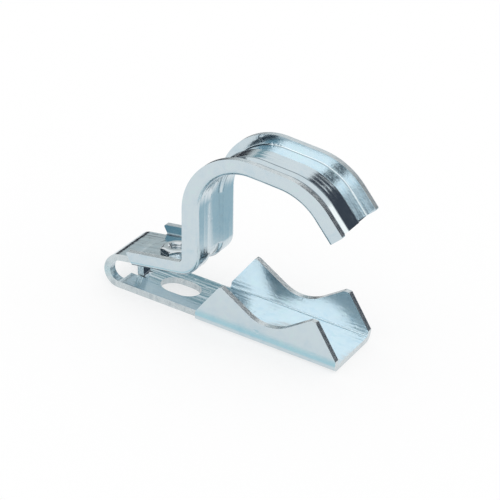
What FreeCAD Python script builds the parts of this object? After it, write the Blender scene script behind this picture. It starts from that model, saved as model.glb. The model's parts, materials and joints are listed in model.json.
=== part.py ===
import FreeCAD, Part
import math
import os

# Conduit clip: one folded strap of zinc plated steel and a captive hex nut.
# Millimetres, X along the base toward the saddle, Y across, Z up.

# Sheet and widths
sheet = 2.0
clip_width = 25.0
strip_width = 19.3
flange_bend_inner = 0.4

# Base
base_length = 72.1
slot_centre_x = 15.8
slot_length = 12.6
slot_width = 9.6

# Saddle flanges of the base, positions along X and heights above the underside
saddle_start_x = 24.9
saddle_step_height = 3.5
left_peak_x = 33.3
left_peak_end_x = 34.1
peak_height = 13.5
notch_left_angle = 28.8
notch_right_angle = 35.6
notch_round = 11.5
right_peak_start_x = 62.4
right_peak_x = 64.1
right_foot_height = 3.6
peak_round = 0.6

# Eye at the left end
eye_inner_radius = 3.35
jaw_tilt = 9.4

# Window in the eye with the stop tab bent up out of it
window_front_band = 2.9
window_top_angle = 146.0
window_base_x = 0.2
tab_width = 4.0
tab_slit = 0.5
tab_root_x = 5.0
tab_bend_inner = 1.0
tab_top_gap = 0.9

# Upper jaw path, measured on the face toward the pipe
corner_radius = 6.2
leg_lean = 8.4
leg_offset = 27.6
arch_radius = 13.4
arm_station_x = 40.55
arm_height = 48.7
arm_slope = 3.0
nose_radius = 18.0
nose_slope = 44.5
nose_run = 12.44
nose_length = 14.9

# Flanges of the upper jaw, total height from the face toward the pipe
flange_start = 3.6
flange_bend_start = 5.2
flange_relief_height = 1.5
flange_web_height = 4.7
flange_leg_height = 4.8
flange_arm_height = 5.0
flange_nose_height = 5.6
flange_corner_round = 1.3
flange_arch_round = 18.0
flange_nose_round = 22.5

# Stiffening rib pressed outward along the middle of the upper jaw
rib_depth = 1.0
rib_half_mouth = 4.2
rib_half_floor = 2.8
rib_run_out = 2.0
rib_edge_round = 0.6

# Captive nut
nut_along_web = 14.0
nut_across_flats = 8.7
nut_height = 1.8
nut_thread_minor = 4.134
nut_collar = 6.6
collar_clearance = 0.05
nut_top_chamfer = 0.7
nut_mouth = 5.7

# Construction allowances: how far a blank runs past its cut, and into its neighbour
spare = 1.0
lap = 2.0

os.makedirs("parts", exist_ok=True)

V = FreeCAD.Vector
mid_y = clip_width / 2.0
strip_front = (clip_width - strip_width) / 2.0
strip_back = clip_width - strip_front
bend_outer = flange_bend_inner + sheet
eye_outer_radius = eye_inner_radius + sheet
eye_centre = V(0, 0, eye_outer_radius)


def turned(angle_deg):
    a = math.radians(angle_deg)
    return V(math.cos(a), 0, math.sin(a))


def left_of(d):
    return V(-d.z, 0, d.x)


def crossing(p, d, q, e):
    den = d.x * e.z - d.z * e.x
    t = ((q.x - p.x) * e.z - (q.z - p.z) * e.x) / den
    return p + d * t


def line(p, q):
    return Part.LineSegment(p, q).toShape()


def arc(p, m, q):
    return Part.Arc(p, m, q).toShape()


def face_of(edges):
    return Part.Face(Part.Wire(Part.__sortEdges__(edges)))


def rounded(points, radii):
    """A closed outline through the points, each corner rounded by its own radius."""
    n = len(points)
    edges = []
    marks = []
    for i in range(n):
        p = points[i]
        a = points[i - 1]
        b = points[(i + 1) % n]
        r = radii[i]
        if r <= 0:
            marks.append((p, p))
            continue
        u = (a - p).normalize()
        w = (b - p).normalize()
        half = u.getAngle(w) / 2.0
        run = r / math.tan(half)
        bisector = (u + w).normalize()
        centre = p + bisector * (r / math.sin(half))
        marks.append((p + u * run, p + w * run))
        edges.append(arc(p + u * run, centre - bisector * r, p + w * run))
    for i in range(n):
        s = marks[i][1]
        e = marks[(i + 1) % n][0]
        if (e - s).Length > 1e-6:
            edges.append(line(s, e))
    return face_of(edges)


def block(x0, x1, y0, y1, z0, z1):
    return Part.makeBox(x1 - x0, y1 - y0, z1 - z0, V(x0, y0, z0))


def prism(face, y0, y1):
    f = face.copy()
    f.translate(V(0, y0, 0))
    return f.extrude(V(0, y1 - y0, 0))


# Channel section across the width: n is the distance from the face toward the pipe.
def section_points(height, rib):
    w = clip_width
    h = height
    pts = [(0, h), (0, 0), (w, 0), (w, h), (w - sheet, h), (w - sheet, sheet), (sheet, sheet), (sheet, h)]
    rad = [0, bend_outer, bend_outer, 0, 0, flange_bend_inner, flange_bend_inner, 0]
    if rib > 0:
        slope = math.atan2(rib, rib_half_mouth - rib_half_floor)
        grow = sheet * math.tan(slope / 2.0)
        low = [(mid_y - rib_half_mouth, 0), (mid_y - rib_half_floor, rib),
               (mid_y + rib_half_floor, rib), (mid_y + rib_half_mouth, 0)]
        top = [(mid_y + rib_half_mouth + grow, sheet), (mid_y + rib_half_floor + grow, sheet + rib),
               (mid_y - rib_half_floor - grow, sheet + rib), (mid_y - rib_half_mouth - grow, sheet)]
        pts = pts[:2] + low + pts[2:6] + top + pts[6:]
        rad = rad[:2] + [0] * 4 + rad[2:6] + [rib_edge_round] * 4 + rad[6:]
    return pts, rad


def section_face(origin, outward, height, rib):
    """The channel section placed at a point of the path, outward is the direction away from the pipe."""
    pts, rad = section_points(height, rib)
    return rounded([origin + V(0, y, 0) + outward * n for y, n in pts], rad)


# Path of the upper jaw on the pipe side
web_dir = turned(jaw_tilt)
web_start = eye_centre + left_of(web_dir) * eye_inner_radius
leg_dir = turned(90 + leg_lean)
leg_normal = turned(leg_lean)
leg_point = leg_normal * leg_offset
arm_dir = turned(-arm_slope)
arm_point = V(arm_station_x, 0, arm_height)
nose_dir = turned(-nose_slope)

corner_a = crossing(web_start, web_dir, leg_point, leg_dir)
corner_b = crossing(leg_point, leg_dir, arm_point, arm_dir)
corner_c = arm_point + arm_dir * nose_run
nose_tip = corner_c + nose_dir * nose_length

turn_a = 90 + leg_lean - jaw_tilt
turn_b = 90 + leg_lean + arm_slope
turn_c = nose_slope - arm_slope
run_a = corner_radius * math.tan(math.radians(turn_a / 2.0))
run_b = arch_radius * math.tan(math.radians(turn_b / 2.0))
run_c = nose_radius * math.tan(math.radians(turn_c / 2.0))
centre_a = corner_a - web_dir * run_a + left_of(web_dir) * corner_radius
centre_b = corner_b - leg_dir * run_b - left_of(leg_dir) * arch_radius
centre_c = corner_c - arm_dir * run_c - left_of(arm_dir) * nose_radius


def straight(start, end, outward, height, rib):
    return section_face(start, outward, height, rib).extrude(end - start)


def swept(start, outward, centre, turn, height, rib):
    """Turns the section about an axis across the width; a positive turn is toward the left of the path."""
    f = section_face(start, outward, height, rib)
    return f.revolve(centre, V(0, -1, 0), turn)


tall = flange_nose_height + spare
low = corner_radius - 0.05
a_in = corner_a - web_dir * run_a
a_out = corner_a + leg_dir * run_a
b_in = corner_b - leg_dir * run_b
b_out = corner_b + arm_dir * run_b
c_in = corner_c - arm_dir * run_c
c_out = corner_c + nose_dir * run_c
flange_from = web_start + web_dir * flange_start
rib_from = a_in - web_dir * rib_run_out

flat_start = section_face(rib_from, left_of(web_dir), low, 0.02).OuterWire
rib_start = section_face(a_in, left_of(web_dir), low, rib_depth).OuterWire
jaw = straight(flange_from, rib_from, left_of(web_dir), low, 0)
jaw = jaw.fuse([
    Part.makeLoft([flat_start, rib_start], True, True),
    swept(a_in, left_of(web_dir), centre_a, turn_a, low, rib_depth),
    straight(a_out, b_in, left_of(leg_dir), tall, rib_depth),
    swept(b_in, left_of(leg_dir), centre_b, -turn_b, tall, rib_depth),
    straight(b_out, c_in, left_of(arm_dir), tall, rib_depth),
    swept(c_in, left_of(arm_dir), centre_c, -turn_c, tall, rib_depth),
    straight(c_out, nose_tip, left_of(nose_dir), tall, rib_depth),
])

# Side outline that the flanges of the upper jaw are cut to
up_web = left_of(web_dir)
up_leg = left_of(leg_dir)
up_arm = left_of(arm_dir)
up_nose = left_of(nose_dir)
edge_a = crossing(flange_from + up_web * flange_web_height, web_dir,
                  leg_point + up_leg * flange_leg_height, leg_dir)
edge_b = crossing(leg_point + up_leg * flange_leg_height, leg_dir,
                  arm_point + up_arm * flange_arm_height, arm_dir)
edge_c = crossing(arm_point + up_arm * flange_arm_height, arm_dir,
                  corner_c + up_nose * flange_nose_height, nose_dir)
under_a = crossing(flange_from - up_web * spare, web_dir, leg_point - up_leg * spare, leg_dir)
under_b = crossing(leg_point - up_leg * spare, leg_dir, arm_point - up_arm * spare, arm_dir)
under_c = crossing(arm_point - up_arm * spare, arm_dir, corner_c - up_nose * spare, nose_dir)
relief = web_start + web_dir * flange_bend_start
jaw_outline = rounded(
    [relief - up_web * spare, relief + up_web * flange_relief_height,
     flange_from + up_web * flange_web_height, edge_a, edge_b, edge_c,
     nose_tip + up_nose * flange_nose_height, nose_tip - up_nose * spare, under_c, under_b, under_a],
    [0, 0.8, 0.5, flange_corner_round, flange_arch_round, flange_nose_round,
     0.5, 0, nose_radius - spare, arch_radius - spare, corner_radius + spare])
jaw = jaw.common(prism(jaw_outline, -spare, clip_width + spare))

# Plain strip of the base, the eye and the start of the web
base_strip = block(0, base_length, strip_front, strip_back, 0, sheet)
eye_section = Part.Face(Part.makePolygon([V(0, strip_front, 0), V(0, strip_back, 0), V(0, strip_back, sheet),
                                          V(0, strip_front, sheet), V(0, strip_front, 0)]))
eye_wrap = 180.0 - jaw_tilt
eye = eye_section.revolve(eye_centre, V(0, 1, 0), eye_wrap)
web_section = eye_section.copy()
web_section.rotate(eye_centre, V(0, 1, 0), eye_wrap)
web_strip = web_section.extrude(web_dir * (flange_start + lap))

# Saddle: channel cut to its side outline
saddle_tall = peak_height + lap
saddle = section_face(V(saddle_start_x - lap, 0, 0), V(0, 0, 1), saddle_tall, 0)
saddle = saddle.extrude(V(base_length - saddle_start_x + lap, 0, 0))
left_line = turned(-notch_left_angle)
right_line = turned(notch_right_angle)
notch_point = crossing(V(left_peak_end_x, 0, peak_height), left_line,
                       V(right_peak_start_x, 0, peak_height), right_line)
saddle_cut_x = saddle_start_x + saddle_step_height * (left_peak_x - saddle_start_x) / peak_height
saddle_outline = rounded(
    [V(saddle_cut_x, 0, -spare), V(saddle_cut_x, 0, saddle_step_height), V(left_peak_x, 0, peak_height),
     V(left_peak_end_x, 0, peak_height), notch_point,
     V(right_peak_start_x, 0, peak_height), V(right_peak_x, 0, peak_height),
     V(base_length, 0, right_foot_height), V(base_length, 0, -spare)],
    [0, 0, peak_round, peak_round, notch_round, peak_round, peak_round, 0.8, 0])
saddle = saddle.common(prism(saddle_outline, -spare, clip_width + spare))

strap = base_strip.fuse([eye, web_strip, saddle, jaw])

# Window through the middle of the eye, reaching down to the flat of the base
window_front = strip_front + window_front_band
window_back = strip_back - window_front_band
ring_out = Part.makeCylinder(eye_outer_radius + 0.5, window_back - window_front,
                             V(0, window_front, eye_centre.z), V(0, 1, 0))
sector_reach = 4.0 * eye_outer_radius
top_edge = turned(window_top_angle)
corner = eye_centre + top_edge * sector_reach
sector = face_of([
    line(eye_centre, corner), line(corner, V(-sector_reach, 0, -sector_reach)),
    line(V(-sector_reach, 0, -sector_reach), V(0, 0, -sector_reach)), line(V(0, 0, -sector_reach), eye_centre)])
window = ring_out.common(prism(sector, window_front, window_back))
strap = strap.cut(window)
strap = strap.cut(block(-0.5, window_base_x, window_front, window_back, -1.0, sheet + 0.5))

# Stop tab bent up from the tongue left standing in the window
tab_front = mid_y - tab_width / 2.0
tab_back = mid_y + tab_width / 2.0
tab_bend_outer = tab_bend_inner + sheet
strap = strap.cut(block(-0.5, tab_root_x, tab_front - tab_slit, tab_back + tab_slit, -1.0, sheet + 0.5))
tab_bend = 90.0 - jaw_tilt
bend_centre = V(tab_root_x, 0, tab_bend_outer)
tab_up = turned(90.0 + jaw_tilt)
end_out = bend_centre + turned(270 - tab_bend) * tab_bend_outer
end_in = bend_centre + turned(270 - tab_bend) * tab_bend_inner
mid_out = bend_centre + turned(270 - tab_bend / 2.0) * tab_bend_outer
mid_in = bend_centre + turned(270 - tab_bend / 2.0) * tab_bend_inner
tab_length = (web_start - end_out).dot(tab_up) - tab_top_gap
top_out = end_out + tab_up * tab_length
top_in = end_in + tab_up * tab_length
tab_outline = face_of([
    arc(V(tab_root_x, 0, 0), mid_out, end_out), line(end_out, top_out), line(top_out, top_in),
    line(top_in, end_in), arc(end_in, mid_in, V(tab_root_x, 0, sheet)),
    line(V(tab_root_x, 0, sheet), V(tab_root_x, 0, 0))])
strap = strap.fuse(prism(tab_outline, tab_front, tab_back))

# Slotted hole in the base
slot_half = (slot_length - slot_width) / 2.0
slot_radius = slot_width / 2.0
slot = block(slot_centre_x - slot_half, slot_centre_x + slot_half,
             mid_y - slot_radius, mid_y + slot_radius, -1.0, sheet + 1.0)
slot = slot.fuse([
    Part.makeCylinder(slot_radius, sheet + 2.0, V(slot_centre_x - slot_half, mid_y, -1.0)),
    Part.makeCylinder(slot_radius, sheet + 2.0, V(slot_centre_x + slot_half, mid_y, -1.0))])
strap = strap.cut(slot)

# Round hole in the web that holds the nut's collar
nut_foot = web_start + web_dir * nut_along_web + up_web * sheet + V(0, mid_y, 0)
hole_radius = nut_collar / 2.0 + collar_clearance
strap = strap.cut(Part.makeCylinder(hole_radius, sheet + 1.0, nut_foot - up_web * (sheet + 0.5), up_web))
strap = strap.removeSplitter()

# Captive hex nut: low hexagon on the web and a round collar through it
flat_radius = nut_across_flats / 2.0
corner_radius_nut = flat_radius / math.cos(math.radians(30))
hexagon = [V(corner_radius_nut * math.cos(math.radians(30 + 60 * i)),
             corner_radius_nut * math.sin(math.radians(30 + 60 * i)), 0) for i in range(7)]
nut = Part.Face(Part.makePolygon(hexagon)).extrude(V(0, 0, nut_height))
chamfer_drop = nut_top_chamfer
chamfer_radius = corner_radius_nut - chamfer_drop / math.tan(math.radians(30))
crown = Part.Face(Part.makePolygon([
    V(0, 0, -0.5), V(corner_radius_nut + 0.2, 0, -0.5),
    V(corner_radius_nut + 0.2, 0, nut_height - chamfer_drop - 0.2 * math.tan(math.radians(30))),
    V(chamfer_radius, 0, nut_height), V(0, 0, nut_height), V(0, 0, -0.5)]))
nut = nut.common(crown.revolve(V(0, 0, 0), V(0, 0, 1), 360))
nut = nut.fuse(Part.makeCylinder(nut_collar / 2.0, sheet, V(0, 0, -sheet)))
bore_radius = nut_thread_minor / 2.0
nut = nut.cut(Part.makeCylinder(bore_radius, sheet + nut_height + 2.0, V(0, 0, -sheet - 1.0)))
mouth_radius = nut_mouth / 2.0
mouth_depth = mouth_radius - bore_radius
nut = nut.cut(Part.makeCone(bore_radius, mouth_radius + 0.2, mouth_depth + 0.2, V(0, 0, nut_height - mouth_depth)))
nut = nut.cut(Part.makeCone(mouth_radius + 0.2, bore_radius, mouth_depth + 0.2, V(0, 0, -sheet - 0.2)))
nut = nut.removeSplitter()
nut.rotate(V(0, 0, 0), V(0, 1, 0), -jaw_tilt)
nut.translate(nut_foot)

# Origin at the middle of the footprint, underside on the ground plane
box = strap.BoundBox
shift = V(-(box.XMin + box.XMax) / 2.0, -mid_y, -box.ZMin)
strap.translate(shift)
nut.translate(shift)

for name, shape in (("clip_strap", strap), ("captive_nut", nut)):
    if shape.ShapeType == "Compound" and len(shape.Solids) == 1:
        shape = shape.Solids[0]
    print(name, shape.ShapeType, "solids", len(shape.Solids), "valid", shape.isValid(),
          "faces", len(shape.Faces), "volume", round(shape.Volume, 1), "box", shape.BoundBox)
    shape.exportStep(os.path.join("parts", name + ".step"))
print("shift", shift, "nut foot", nut_foot + shift, "axis", up_web)
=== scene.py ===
import json
import math

import bmesh
import bpy
from mathutils import Matrix, Vector
from mathutils.bvhtree import BVHTree


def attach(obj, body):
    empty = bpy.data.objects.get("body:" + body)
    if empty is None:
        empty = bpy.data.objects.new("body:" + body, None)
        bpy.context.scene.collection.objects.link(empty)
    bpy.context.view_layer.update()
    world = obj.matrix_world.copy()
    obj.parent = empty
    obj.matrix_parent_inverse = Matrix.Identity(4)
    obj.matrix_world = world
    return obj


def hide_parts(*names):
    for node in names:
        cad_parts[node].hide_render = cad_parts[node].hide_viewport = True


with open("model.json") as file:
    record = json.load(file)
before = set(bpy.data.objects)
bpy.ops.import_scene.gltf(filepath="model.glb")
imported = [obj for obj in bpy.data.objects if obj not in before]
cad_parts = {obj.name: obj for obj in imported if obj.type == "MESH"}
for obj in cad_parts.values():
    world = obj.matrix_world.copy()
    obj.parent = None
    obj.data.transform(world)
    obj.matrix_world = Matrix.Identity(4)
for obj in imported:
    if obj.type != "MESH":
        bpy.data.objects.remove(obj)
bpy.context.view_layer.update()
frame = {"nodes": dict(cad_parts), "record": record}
nodes = frame["nodes"]
scene = bpy.context.scene

# Camera: the photograph's long lens, a little above the clip and to the right of its front
camera_data = bpy.data.cameras.new("camera")
camera_data.lens = 154.72
camera_data.sensor_width = 36.0
camera_data.clip_start = 0.01
camera_data.clip_end = 20.0
camera = bpy.data.objects.new("camera", camera_data)
scene.collection.objects.link(camera)
right = Vector((0.88288322, 0.44771426, 0.14166565))
up = Vector((-0.3191114, 0.35069076, 0.88044529))
back = Vector((0.34450708, -0.8225375, 0.45248972))
place = Matrix((right, up, back)).transposed().to_4x4()
place.translation = Vector((0.21535, -0.50873, 0.30136))
camera.matrix_world = place
scene.camera = camera


# Shader helpers, most of which add one node and return its output
def new_material(name):
    material = bpy.data.materials.new(name)
    material.use_nodes = True
    tree = material.node_tree
    return material, tree.nodes, tree.links


def noise(n, links, vector, scale, detail, rough=0.5, distortion=0.0):
    made = n.new("ShaderNodeTexNoise")
    made.inputs["Scale"].default_value = scale
    made.inputs["Detail"].default_value = detail
    made.inputs["Roughness"].default_value = rough
    made.inputs["Distortion"].default_value = distortion
    links.new(vector, made.inputs["Vector"])
    return made.outputs["Fac"]


def stretch(n, links, vector, x, y, z):
    made = n.new("ShaderNodeMapping")
    made.inputs["Scale"].default_value = (x, y, z)
    links.new(vector, made.inputs["Vector"])
    return made.outputs["Vector"]


def remap(n, links, value, low, high, to_low, to_high):
    made = n.new("ShaderNodeMapRange")
    made.inputs["From Min"].default_value = low
    made.inputs["From Max"].default_value = high
    made.inputs["To Min"].default_value = to_low
    made.inputs["To Max"].default_value = to_high
    links.new(value, made.inputs["Value"])
    return made.outputs["Result"]


def combine(n, links, operation, a, b):
    made = n.new("ShaderNodeMath")
    made.operation = operation
    links.new(a, made.inputs[0])
    links.new(b, made.inputs[1])
    return made.outputs[0]


def ramp(n, links, value, stops):
    made = n.new("ShaderNodeValToRGB")
    band = made.color_ramp
    while len(band.elements) < len(stops):
        band.elements.new(0.5)
    for element, (position, colour) in zip(band.elements, stops):
        element.position = position
        element.color = (*colour, 1.0)
    links.new(value, made.inputs["Fac"])
    return made.outputs["Color"]


BUMP_UNIT = 0.00001  # the height that 1.0 stands for in a layer of the bump


def zinc(name, tints, rough, grain, streaks, streak_axes, ridge=0.0):
    """Zinc plated steel: cloudy tints, uneven gloss, and a bump of grain, rolling marks, waves, ridges and pits."""
    material, n, links = new_material(name)
    shader = n["Principled BSDF"]
    shader.inputs["Metallic"].default_value = 1.0
    spot = n.new("ShaderNodeTexCoord").outputs["Object"]

    cloud = noise(n, links, spot, 420, 4, 0.6, 0.6)
    line = noise(n, links, stretch(n, links, spot, *streak_axes), 1.0, 3, 0.6)
    tint = combine(n, links, "ADD", remap(n, links, cloud, 0, 1, 0, 0.6), remap(n, links, line, 0, 1, 0, 0.4))
    links.new(ramp(n, links, tint, tints), shader.inputs["Base Color"])

    rough_low, rough_high = rough
    rough_mid = (rough_low + rough_high) / 2
    speckle = noise(n, links, spot, 900, 3, 0.6)
    gloss = combine(n, links, "ADD", remap(n, links, speckle, 0.3, 0.7, rough_low, rough_mid),
                    remap(n, links, cloud, 0.35, 0.7, 0.0, rough_mid - rough_low))
    links.new(gloss, shader.inputs["Roughness"])

    lumps = noise(n, links, spot, 1500, 2, 0.5)
    waves = noise(n, links, spot, 260, 1, 0.4)
    ridges = noise(n, links, stretch(n, links, spot, 25, 620, 25), 1.0, 1, 0.5)
    pits = noise(n, links, spot, 380, 2, 0.5)
    height = combine(n, links, "ADD", remap(n, links, lumps, 0, 1, 0, grain), remap(n, links, line, 0, 1, 0, streaks))
    height = combine(n, links, "ADD", height, remap(n, links, waves, 0, 1, 0, 0.8))
    height = combine(n, links, "ADD", height, remap(n, links, ridges, 0, 1, 0, ridge))
    height = combine(n, links, "ADD", height, remap(n, links, pits, 0.66, 0.72, 0, -ridge / 4))
    bump = n.new("ShaderNodeBump")
    bump.inputs["Strength"].default_value = 1.0
    bump.inputs["Distance"].default_value = BUMP_UNIT
    links.new(height, bump.inputs["Height"])
    links.new(bump.outputs["Normal"], shader.inputs["Normal"])
    return material


plate = zinc("zinc_plate", [(0.36, (0.515, 0.635, 0.695)), (0.46, (0.57, 0.665, 0.715)),
                            (0.56, (0.595, 0.68, 0.72)), (0.64, (0.58, 0.695, 0.72))],
             rough=(0.10, 0.18), grain=1.2, streaks=1.6, streak_axes=(45, 1300, 45), ridge=8.0)
rubbed = zinc("zinc_rubbed", [(0.40, (0.74, 0.79, 0.81)), (0.60, (0.80, 0.82, 0.82))],
              rough=(0.24, 0.36), grain=1.5, streaks=0.5, streak_axes=(300, 300, 300))
sheared = zinc("zinc_cut", [(0.38, (0.50, 0.56, 0.59)), (0.47, (0.60, 0.66, 0.68)), (0.60, (0.64, 0.69, 0.71))],
               rough=(0.20, 0.34), grain=5.0, streaks=2.0, streak_axes=(900, 900, 160))
rolled = zinc("zinc_rim", [(0.38, (0.56, 0.63, 0.66)), (0.62, (0.64, 0.70, 0.72))],
              rough=(0.36, 0.52), grain=4.0, streaks=3.0, streak_axes=(60, 1600, 60))
# Painted light: a near-white blue tint for the inside corners of the base's bends, a painted highlight line where
# shade would fall
painted_light_bend = zinc("zinc_bend_painted_light", [(0.40, (0.76, 0.92, 1.0)), (0.60, (0.82, 0.95, 1.0))],
            rough=(0.45, 0.60), grain=1.5, streaks=1.0, streak_axes=(60, 2400, 60))
# Painted shade: a dark tint for the inside corners at the jaw's front, the shade that falls in that crease
painted_shade_fold = zinc("zinc_fold_painted_shade", [(0.40, (0.20, 0.25, 0.28)), (0.60, (0.30, 0.36, 0.40))],
              rough=(0.25, 0.45), grain=2.0, streaks=1.0, streak_axes=(60, 2400, 60))
turned = zinc("zinc_nut", [(0.40, (0.60, 0.67, 0.71)), (0.60, (0.68, 0.72, 0.74))],
              rough=(0.06, 0.13), grain=1.4, streaks=0.6, streak_axes=(300, 300, 1200))


# Pieces
PLATE, RUBBED, SHEARED, ROLLED, PAINTED_LIGHT_BEND, PAINTED_SHADE_FOLD = range(6)  # the strap's material slots, in their order
WELD = 2e-6  # corners that are nearer than this are one
ONE_FACE = math.radians(0.4)  # faces that differ by less are one flat face
SHARP = math.radians(50)  # edges above this angle are rounded
CUT_DEPTH = 0.0025  # more metal than this behind a face means that the sheet was cut there
JAW_HEIGHT = 0.021  # all metal above this, or to the left of JAW_X, counts as the jaw
JAW_X = -0.008
NARROW = 0.0005  # faces in a bend's inside corner are narrower than this
LEAN = (0.15, 0.985)  # the least and most that such a face's normal points across the strip
UPRIGHT = 0.7  # a normal that points more than this across the strip belongs to a standing face
SKIN = 0.00005  # how far inside a face a ray starts
ROWS_PER_PITCH = 16
RIM_SLACK = 0.00001  # an edge that is this far inside a mouth's rim belongs to the thread


def hollow(face, solid, centre):
    """Whether a narrow face lies in the inside corner of a bend that runs along the strip."""
    if min(edge.calc_length() for edge in face.edges) > NARROW or not LEAN[0] < abs(face.normal.y) < LEAN[1]:
        return False
    across = Vector((0.0, math.copysign(1.0, face.normal.y), 0.0))
    return solid.ray_cast(centre + face.normal * 2 * SKIN, across)[0] is not None


def tell_faces(bm, solid):
    """Give sheared and rolled edges their own materials; paint a highlight into the inside corners of bends on the
    base and shade into those at the jaw's front.
    """
    bm.faces.ensure_lookup_table()
    largest = {}
    for corners in bm.calc_loop_triangles():
        a, b, c = (loop.vert.co for loop in corners)
        area = (b - a).cross(c - a).length
        index = corners[0].face.index
        if area > largest.get(index, (0.0, None))[0]:
            largest[index] = (area, (a + b + c) / 3.0)
    for index, (_, centre) in largest.items():
        face = bm.faces[index]
        on_jaw = centre.z > JAW_HEIGHT or centre.x < JAW_X
        in_front = centre.y < 0.0
        point, _, _, depth = solid.ray_cast(centre - face.normal * SKIN, -face.normal)
        if point is None or depth > CUT_DEPTH:
            rear_rim = on_jaw and centre.y > 0.0 and abs(face.normal.y) < UPRIGHT
            face.material_index = ROLLED if rear_rim else SHEARED
        elif hollow(face, solid, centre):
            # Inside corners: painted highlight off the jaw, painted shade at the jaw's front, plain plate at its rear
            face.material_index = PAINTED_LIGHT_BEND if not on_jaw else PAINTED_SHADE_FOLD if in_front else PLATE


def threaded(bm, foot, axis, low, high, minor, major, pitch, mouth):
    """Turn a nut's plain bore into a screw thread that runs out into its two countersunk mouths.

    Heights are along the axis from its foot. The radii are those of the thread's crests and roots and of the
    mouths' rims. Rows of corners run down from the upper rim, and the last row is joined to the lower one.
    What comes back tells whether an edge belongs to the thread."""
    side = axis.orthogonal().normalized()
    other = axis.cross(side)

    def polar(point):
        arm = point - foot
        height = arm.dot(axis)
        arm -= axis * height
        return height, arm.length, math.atan2(arm.dot(other), arm.dot(side))

    def on_thread(height, turn):
        radius = (minor + major) / 2 + (major - minor) / 2 * math.cos(2 * math.pi * height / pitch - turn)
        radius = max(radius, mouth - min(height - low, high - height))
        return foot + axis * height + (side * math.cos(turn) + other * math.sin(turn)) * radius

    bore = [f for f in bm.faces if abs(f.normal.dot(axis)) < 0.9 and polar(f.calc_center_median())[1] < mouth]
    bmesh.ops.delete(bm, geom=bore, context="FACES")
    rims = [v for v in bm.verts if any(len(e.link_faces) == 1 for e in v.link_edges)]
    ring = sorted((v for v in rims if polar(v.co)[0] > (low + high) / 2), key=lambda v: polar(v.co)[2])
    turns = [polar(v.co)[2] for v in ring]
    rows = round((high - low) / pitch * ROWS_PER_PITCH)
    for row in range(1, rows):
        height = high + (low - high) * row / rows
        below = [bm.verts.new(on_thread(height, turn)) for turn in turns]
        for i in range(len(ring)):
            bm.faces.new((ring[i - 1], ring[i], below[i], below[i - 1]))
        ring = below
    bmesh.ops.bridge_loops(bm, edges=[e for e in bm.edges if len(e.link_faces) == 1])
    bmesh.ops.recalc_face_normals(bm, faces=bm.faces)
    return lambda edge: all(polar(v.co)[1] < mouth - RIM_SLACK for v in edge.verts)


def dressed(name, piece, edge, slots, sheet=False, thread=None):
    """A copy of a CAD node with rounded edges. A sheet's faces are told apart, and a nut gets its thread."""
    mesh = bpy.data.meshes.new(piece)
    bm = bmesh.new()
    bm.from_mesh(nodes[name].data)
    bmesh.ops.remove_doubles(bm, verts=bm.verts, dist=WELD)
    solid = BVHTree.FromBMesh(bm)
    bmesh.ops.dissolve_limit(bm, angle_limit=ONE_FACE, verts=bm.verts, edges=bm.edges)
    if sheet:
        tell_faces(bm, solid)
    in_thread = threaded(bm, *thread) if thread else lambda e: False
    rounded = bm.edges.layers.float.new("bevel_weight_edge")
    for f in bm.faces:
        f.smooth = True
    for e in bm.edges:
        e.smooth = True
        if e.calc_face_angle(0.0) > SHARP and not in_thread(e):
            e[rounded] = 1.0
    bm.to_mesh(mesh)
    bm.free()
    obj = bpy.data.objects.new(piece, mesh)
    scene.collection.objects.link(obj)
    for material in slots:
        mesh.materials.append(material)
    bevel = obj.modifiers.new("edges", "BEVEL")
    bevel.width = edge
    bevel.segments = 3
    bevel.limit_method = "WEIGHT"
    bevel.use_clamp_overlap = True
    bevel.miter_outer = "MITER_ARC"
    bevel.material = RUBBED
    normals = obj.modifiers.new("normals", "WEIGHTED_NORMAL")
    normals.mode = "FACE_AREA"
    normals.weight = 80
    normals.keep_sharp = True
    return obj


strap = dressed("clip_strap", "strap", 0.00028, (plate, rubbed, sheared, rolled, painted_light_bend, painted_shade_fold), sheet=True)
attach(strap, "root")
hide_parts("clip_strap")

# The nut's M5 thread, on the axis that its screw mount states from the middle of the bore
screw = next(mount for mount in frame["record"]["mounts"] if mount["name"] == "clamp_screw")
nut_axis = Vector(screw["axis"]).normalized()
nut_height = 0.0018
collar_depth = 0.002
nut_foot = Vector(screw["pos_m"]) + nut_axis * (collar_depth - nut_height) / 2
thread_minor = screw["dims"]["r_mm"] / 1000
thread_major = 0.0025
thread_pitch = 0.0008
mouth_radius = 0.00285
nut = dressed("captive_nut", "nut", 0.00012, (turned, rubbed),
              thread=(nut_foot, nut_axis, -collar_depth, nut_height, thread_minor, thread_major, thread_pitch,
                      mouth_radius))
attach(nut, "root")
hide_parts("captive_nut")

# Floor, which glows a little for what sees it straight or in a reflection
floor_mesh = bpy.data.meshes.new("floor")
floor_mesh.from_pydata([(-3, -3, 0), (3, -3, 0), (3, 3, 0), (-3, 3, 0)], [], [(0, 1, 2, 3)])
floor = bpy.data.objects.new("floor", floor_mesh)
floor.location = (0, 0, -0.0001)  # just under the strap
scene.collection.objects.link(floor)
pale, n, links = new_material("floor")
n["Principled BSDF"].inputs["Base Color"].default_value = (1.0, 1.0, 1.0, 1.0)
n["Principled BSDF"].inputs["Roughness"].default_value = 1.0
n["Principled BSDF"].inputs["Specular IOR Level"].default_value = 0.0
seen = n.new("ShaderNodeLightPath")
direct = combine(n, links, "MAXIMUM", seen.outputs["Is Camera Ray"], seen.outputs["Is Glossy Ray"])
direct = combine(n, links, "MAXIMUM", direct, seen.outputs["Is Transmission Ray"])
glow_share = remap(n, links, direct, 0, 1, 0, 0.65)  # the rest is lit by the world and keeps the clip's shadow
white = n.new("ShaderNodeEmission")
blend = n.new("ShaderNodeMixShader")
links.new(glow_share, blend.inputs[0])
links.new(n["Principled BSDF"].outputs[0], blend.inputs[1])
links.new(white.outputs[0], blend.inputs[2])
links.new(blend.outputs[0], n["Material Output"].inputs["Surface"])
floor.data.materials.append(pale)

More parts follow.
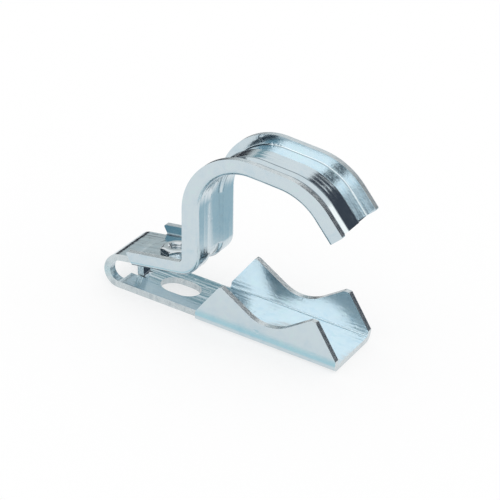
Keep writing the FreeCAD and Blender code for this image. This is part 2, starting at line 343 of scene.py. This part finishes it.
# World
world = bpy.data.worlds.new("studio")
scene.world = world
world.use_nodes = True
world.node_tree.nodes["Background"].inputs["Color"].default_value = (1, 1, 1, 1)
world.node_tree.nodes["Background"].inputs["Strength"].default_value = 1.0


# Studio cards round the clip, and a painted floor shadow by its front, seen in its reflections alone
def card(name, low, high, colour, soft):
    """A flat upright or level card between two corners; soft is the share of each side over which it fades."""
    (x0, y0, z0), (x1, y1, z1) = low, high
    if y0 == y1:
        points = [(x0, y0, z0), (x1, y0, z0), (x1, y0, z1), (x0, y0, z1)]
        axes = ("X", "Z")
    elif x0 == x1:
        points = [(x0, y0, z0), (x0, y1, z0), (x0, y1, z1), (x0, y0, z1)]
        axes = ("Y", "Z")
    else:
        points = [(x0, y0, z0), (x1, y0, z0), (x1, y1, z0), (x0, y1, z0)]
        axes = ("X", "Y")
    mesh = bpy.data.meshes.new(name)
    mesh.from_pydata(points, [], [(0, 1, 2, 3)])
    obj = bpy.data.objects.new(name, mesh)
    scene.collection.objects.link(obj)
    material, n, links = new_material(name)
    n.remove(n["Principled BSDF"])
    split = n.new("ShaderNodeSeparateXYZ")
    links.new(n.new("ShaderNodeTexCoord").outputs["Generated"], split.inputs[0])
    fades = []
    for axis, share in zip(axes, soft):
        inner = n.new("ShaderNodeMath")
        inner.operation = "PINGPONG"
        inner.inputs[1].default_value = 0.5
        links.new(split.outputs[axis], inner.inputs[0])
        fade = n.new("ShaderNodeMapRange")
        fade.interpolation_type = "SMOOTHSTEP"
        fade.inputs["From Min"].default_value = 0.0
        fade.inputs["From Max"].default_value = share
        links.new(inner.outputs[0], fade.inputs["Value"])
        fades.append(fade.outputs["Result"])
    glow = n.new("ShaderNodeEmission")
    glow.inputs["Color"].default_value = (*colour, 1.0)
    clear = n.new("ShaderNodeBsdfTransparent")
    mix = n.new("ShaderNodeMixShader")
    links.new(combine(n, links, "MULTIPLY", *fades), mix.inputs[0])
    links.new(clear.outputs[0], mix.inputs[1])
    links.new(glow.outputs[0], mix.inputs[2])
    links.new(mix.outputs[0], n["Material Output"].inputs["Surface"])
    mesh.materials.append(material)
    obj.visible_camera = False
    obj.visible_diffuse = False
    obj.visible_shadow = False
    obj.visible_transmission = False


# Each card has two corners, the colour of its glow and its soft shares
card("card_behind_left", (-0.45, 0.281, 0.05), (-0.155, 0.281, 0.182), (0.58, 0.62, 0.62), (0.08, 0.22))
card("card_behind_top", (-0.175, 0.28, 0.10), (-0.088, 0.28, 0.192), (0.14, 0.30, 0.35), (0.2, 0.4))
card("card_behind_foot", (-0.38, 0.27, 0.001), (-0.02, 0.27, 0.094), (0.03, 0.03, 0.04), (0.08, 0.1))
card("card_floor_behind", (-0.38, 0.08, 0.0015), (-0.06, 0.27, 0.0015), (0.05, 0.06, 0.07), (0.08, 0.1))
card("card_behind_right", (0.088, 0.28, 0.001), (0.36, 0.28, 0.24), (0.06, 0.07, 0.09), (0.06, 0.06))
card("card_behind_high", (-0.02, 0.281, 0.196), (0.22, 0.281, 0.33), (0.06, 0.07, 0.09), (0.15, 0.06))
card("card_left", (-0.30, -0.26, 0.03), (-0.30, 0.03, 0.38), (0.04, 0.06, 0.08), (0.06, 0.08))
card("card_left_front", (-0.30, -0.70, 0.03), (-0.30, -0.27, 0.38), (0.24, 0.42, 0.50), (0.05, 0.08))
card("card_right", (0.30, -0.26, 0.01), (0.30, 0.16, 0.33), (1.5, 1.42, 1.36), (0.06, 0.08))
card("card_front", (-0.195, -0.34, 0.02), (0.20, -0.34, 0.42), (1.85, 1.80, 1.78), (0.06, 0.1))
card("card_front_dark", (0.01, -0.338, 0.225), (0.125, -0.338, 0.33), (0.01, 0.04, 0.06), (0.1, 0.1))
card("card_front_tip", (0.213, -0.338, 0.08), (0.32, -0.338, 0.24), (0.01, 0.04, 0.06), (0.04, 0.05))
card("card_table", (0.0, 0.025, 0.002), (0.32, 0.262, 0.002), (0.46, 0.61, 0.68), (0.08, 0.12))
# Painted shadow: a teal strip on the floor along the clip's front foot, standing in for its shadow there in
# reflections
card("card_painted_floor_shadow", (-0.07, -0.020, 0.0004), (0.06, -0.0126, 0.0004), (0.62, 0.84, 0.89), (0.1, 0.45))

scene.view_settings.view_transform = "Standard"
